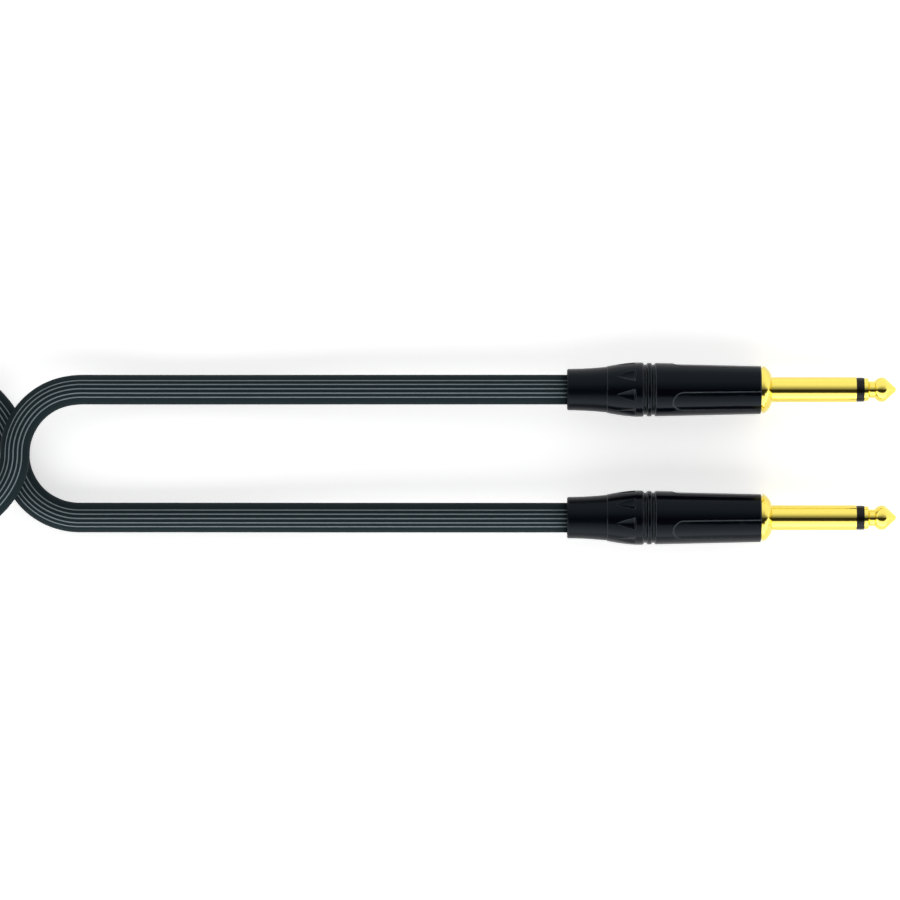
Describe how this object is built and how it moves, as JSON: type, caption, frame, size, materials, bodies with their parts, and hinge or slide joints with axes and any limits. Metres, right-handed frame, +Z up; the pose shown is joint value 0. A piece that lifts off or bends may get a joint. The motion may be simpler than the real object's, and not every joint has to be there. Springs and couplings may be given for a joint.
{
  "type": "instrument cable",
  "caption": "Black round cable for an electric instrument with a straight gold-plated 6.35 mm mono jack plug on each end, its spare length folded into a tied hank.",
  "frame": {"origin": "On the floor, below the middle of the two plugs as they lie side by side, cable left out.", "axes": "+X along both plugs towards their tips, +Y from plug b to plug a, +Z up."},
  "size_m": [0.4051, 0.0617, 0.0375],
  "materials": {
    "contact_gold": "polished",
    "insulator_black": "gloss",
    "tinned_lug": "satin",
    "liner_clear": "satin",
    "barrel_black": "gloss",
    "nut_black": "gloss",
    "chuck_grey": "matte",
    "boot_black": "satin",
    "jacket_black": "satin",
    "core_white": "satin",
    "copper": "satin",
    "tie_fabric": "matte"
  },
  "bodies": {
    "cable": {"tip_contact_a": "contact_gold", "tip_insulator_a": "insulator_black", "sleeve_contact_a": "contact_gold", "ground_lug_a": "tinned_lug", "rear_insulator_a": "insulator_black", "tip_lug_a": "tinned_lug", "liner_a": "liner_clear", "chuck_a": "chuck_grey", "jacket_end_a": "jacket_black", "core_insulation_a": "core_white", "conductor_a": "copper", "shield_pigtail_a": "copper", "tip_contact_b": "contact_gold", "tip_insulator_b": "insulator_black", "sleeve_contact_b": "contact_gold", "ground_lug_b": "tinned_lug", "rear_insulator_b": "insulator_black", "tip_lug_b": "tinned_lug", "liner_b": "liner_clear", "chuck_b": "chuck_grey", "jacket_end_b": "jacket_black", "core_insulation_b": "core_white", "conductor_b": "copper", "shield_pigtail_b": "copper", "cord_a": "jacket_black", "cord_b": "jacket_black", "hank": "jacket_black", "tie": "tie_fabric"},
    "barrel_a": {"barrel_a": "barrel_black"},
    "nut_a": {"nut_a": "nut_black"},
    "boot_a": {"boot_a": "boot_black"},
    "barrel_b": {"barrel_b": "barrel_black"},
    "nut_b": {"nut_b": "nut_black"},
    "boot_b": {"boot_b": "boot_black"}
  },
  "joints": [
    {"name": "barrel_slide_a", "type": "slide", "parent": "cable", "child": "barrel_a", "axis": [-1, 0, 0], "range_m": [0, 0.019]},
    {"name": "boot_slide_a", "type": "slide", "parent": "barrel_a", "child": "boot_a", "axis": [-1, 0, 0], "range_m": [0, 0.006]},
    {"name": "nut_turn_a", "type": "hinge", "parent": "boot_a", "child": "nut_a", "pos_m": [-0.025, 0.01613, 0.00686], "axis": [-1, 0, 0], "range_deg": [0, 2160]},
    {"name": "barrel_slide_b", "type": "slide", "parent": "cable", "child": "barrel_b", "axis": [-1, 0, 0], "range_m": [0, 0.019]},
    {"name": "boot_slide_b", "type": "slide", "parent": "barrel_b", "child": "boot_b", "axis": [-1, 0, 0], "range_m": [0, 0.006]},
    {"name": "nut_turn_b", "type": "hinge", "parent": "boot_b", "child": "nut_b", "pos_m": [-0.025, -0.01613, 0.00686], "axis": [-1, 0, 0], "range_deg": [0, 2160]}
  ],
  "couplings": [
    {"joint": "nut_turn_a", "follows": "boot_slide_a", "rad_per_m": 6283.2},
    {"joint": "nut_turn_b", "follows": "boot_slide_b", "rad_per_m": 6283.2}
  ]
}
